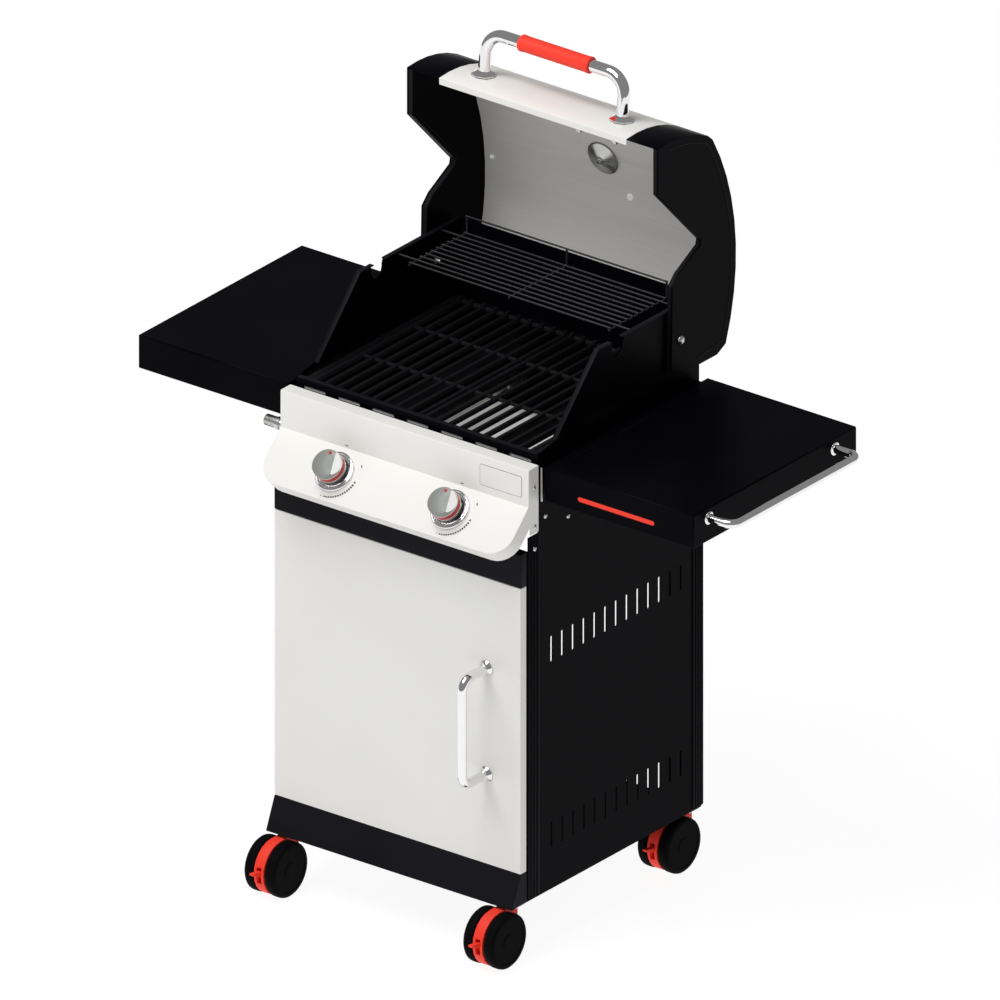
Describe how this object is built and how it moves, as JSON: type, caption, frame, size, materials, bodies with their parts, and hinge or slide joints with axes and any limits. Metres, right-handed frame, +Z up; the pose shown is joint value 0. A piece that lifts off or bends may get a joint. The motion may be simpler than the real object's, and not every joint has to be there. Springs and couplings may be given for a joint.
{
  "type": "gas barbecue grill",
  "caption": "Gas barbecue grill with a hinged lid, cast grates over tube burners, side shelves with a rail, and a cabinet with a door on swivel castors.",
  "frame": {"origin": "on the ground, below the middle of the cabinet", "axes": "+X to the user's right, +Y to the rear (the user stands at -Y), +Z up"},
  "size_m": [1.2088, 0.6812, 1.426],
  "materials": {
    "white_enamel": "warm white baked enamel, satin gloss",
    "black_enamel": "black baked enamel, satin gloss",
    "cast_iron": "matt enamelled castings",
    "chrome": "bright plating",
    "steel": "dull plated or aluminised sheet",
    "brass": "machined",
    "red_plastic": "moulded red plastic, satin",
    "knob_grey": "satin silver-grey plating with a red ring",
    "black_rubber": "moulded black tread and wheel"
  },
  "bodies": {
    "cabinet": {"left_side_panel": "black_enamel", "right_side_panel": "black_enamel", "base_panel": "black_enamel", "kick_panel": "black_enamel", "front_header": "black_enamel", "rear_brace": "black_enamel", "upper_hinge_pin": "steel", "lower_hinge_pin": "steel", "firebox": "black_enamel", "left_grate": "cast_iron", "right_grate": "cast_iron", "warming_rack": "chrome", "left_burner": "steel", "right_burner": "steel", "left_flame_tamer": "cast_iron", "right_flame_tamer": "cast_iron", "gas_manifold": "steel", "left_valve": "brass", "right_valve": "brass", "control_panel": "white_enamel", "left_bezel": "chrome", "right_bezel": "chrome", "left_shelf": "black_enamel", "right_shelf": "black_enamel", "shelf_rail": "chrome", "left_hinge_bolt": "steel", "right_hinge_bolt": "steel", "front_left_castor_mount": "steel", "front_right_castor_mount": "steel", "rear_left_castor_mount": "steel", "rear_right_castor_mount": "steel"},
    "door": {"door_panel": "white_enamel", "door_liner": "white_enamel", "door_handle": "chrome"},
    "lid": {"lid_left_cap": "black_enamel", "lid_right_cap": "black_enamel", "lid_shell": "white_enamel", "lid_liner": "steel", "lid_handle": "chrome", "lid_grip": "red_plastic", "left_rosette": "chrome", "right_rosette": "chrome", "thermometer": "chrome"},
    "grease_tray": {"grease_tray": "steel"},
    "left_valve_stem": {"left_valve_stem": "steel"},
    "right_valve_stem": {"right_valve_stem": "steel"},
    "left_knob": {"left_knob": "knob_grey"},
    "right_knob": {"right_knob": "knob_grey"},
    "front_left_castor": {"front_left_castor_hood": "red_plastic"},
    "front_left_wheels": {"front_left_castor_wheels": "black_rubber"},
    "front_left_pedal": {"front_left_brake_pedal": "red_plastic"},
    "front_right_castor": {"front_right_castor_hood": "red_plastic"},
    "front_right_wheels": {"front_right_castor_wheels": "black_rubber"},
    "front_right_pedal": {"front_right_brake_pedal": "red_plastic"},
    "rear_left_castor": {"rear_left_castor_hood": "red_plastic"},
    "rear_left_wheels": {"rear_left_castor_wheels": "black_rubber"},
    "rear_left_pedal": {"rear_left_brake_pedal": "red_plastic"},
    "rear_right_castor": {"rear_right_castor_hood": "red_plastic"},
    "rear_right_wheels": {"rear_right_castor_wheels": "black_rubber"},
    "rear_right_pedal": {"rear_right_brake_pedal": "red_plastic"}
  },
  "joints": [
    {"name": "door_hinge", "type": "hinge", "parent": "cabinet", "child": "door", "pos_m": [-0.25, -0.2475, 0.4], "axis": [0, 0, -1], "range_deg": [0, 110]},
    {"name": "lid_hinge", "type": "hinge", "parent": "cabinet", "child": "lid", "pos_m": [0, 0.1684, 0.9703], "axis": [1, 0, 0], "range_deg": [0, 91]},
    {"name": "tray_slide", "type": "slide", "parent": "cabinet", "child": "grease_tray", "axis": [0, 1, 0], "range_m": [0, 0.25]},
    {"name": "left_knob_push", "type": "slide", "parent": "cabinet", "child": "left_valve_stem", "axis": [0, 0.7071, -0.7071], "range_m": [0, 0.003], "stiffness_N_per_m": 3000, "springref_m": -0.001},
    {"name": "left_knob_turn", "type": "hinge", "parent": "left_valve_stem", "child": "left_knob", "pos_m": [-0.1195, -0.26647, 0.78403], "axis": [0, 0.7071, -0.7071], "range_deg": [0, 180]},
    {"name": "right_knob_push", "type": "slide", "parent": "cabinet", "child": "right_valve_stem", "axis": [0, 0.7071, -0.7071], "range_m": [0, 0.003], "stiffness_N_per_m": 3000, "springref_m": -0.001},
    {"name": "right_knob_turn", "type": "hinge", "parent": "right_valve_stem", "child": "right_knob", "pos_m": [0.1195, -0.26647, 0.78403], "axis": [0, 0.7071, -0.7071], "range_deg": [0, 180]},
    {"name": "front_left_swivel", "type": "hinge", "parent": "cabinet", "child": "front_left_castor", "pos_m": [-0.2265, -0.2515, 0.08], "axis": [0, 0, 1], "continuous": true},
    {"name": "front_left_roll", "type": "hinge", "parent": "front_left_castor", "child": "front_left_wheels", "pos_m": [-0.2265, -0.2865, 0.048], "axis": [1, 0, 0], "continuous": true},
    {"name": "front_left_brake", "type": "hinge", "parent": "front_left_castor", "child": "front_left_pedal", "pos_m": [-0.2265, -0.3185, 0.048], "axis": [1, 0, 0], "range_deg": [0, 18]},
    {"name": "front_right_swivel", "type": "hinge", "parent": "cabinet", "child": "front_right_castor", "pos_m": [0.2265, -0.2515, 0.08], "axis": [0, 0, 1], "continuous": true},
    {"name": "front_right_roll", "type": "hinge", "parent": "front_right_castor", "child": "front_right_wheels", "pos_m": [0.2265, -0.2865, 0.048], "axis": [1, 0, 0], "continuous": true},
    {"name": "front_right_brake", "type": "hinge", "parent": "front_right_castor", "child": "front_right_pedal", "pos_m": [0.2265, -0.3185, 0.048], "axis": [1, 0, 0], "range_deg": [0, 18]},
    {"name": "rear_left_swivel", "type": "hinge", "parent": "cabinet", "child": "rear_left_castor", "pos_m": [-0.2265, 0.2165, 0.08], "axis": [0, 0, 1], "continuous": true},
    {"name": "rear_left_roll", "type": "hinge", "parent": "rear_left_castor", "child": "rear_left_wheels", "pos_m": [-0.2265, 0.1815, 0.048], "axis": [1, 0, 0], "continuous": true},
    {"name": "rear_left_brake", "type": "hinge", "parent": "rear_left_castor", "child": "rear_left_pedal", "pos_m": [-0.2265, 0.1495, 0.048], "axis": [1, 0, 0], "range_deg": [0, 18]},
    {"name": "rear_right_swivel", "type": "hinge", "parent": "cabinet", "child": "rear_right_castor", "pos_m": [0.2265, 0.2165, 0.08], "axis": [0, 0, 1], "continuous": true},
    {"name": "rear_right_roll", "type": "hinge", "parent": "rear_right_castor", "child": "rear_right_wheels", "pos_m": [0.2265, 0.1815, 0.048], "axis": [1, 0, 0], "continuous": true},
    {"name": "rear_right_brake", "type": "hinge", "parent": "rear_right_castor", "child": "rear_right_pedal", "pos_m": [0.2265, 0.1495, 0.048], "axis": [1, 0, 0], "range_deg": [0, 18]}
  ]
}
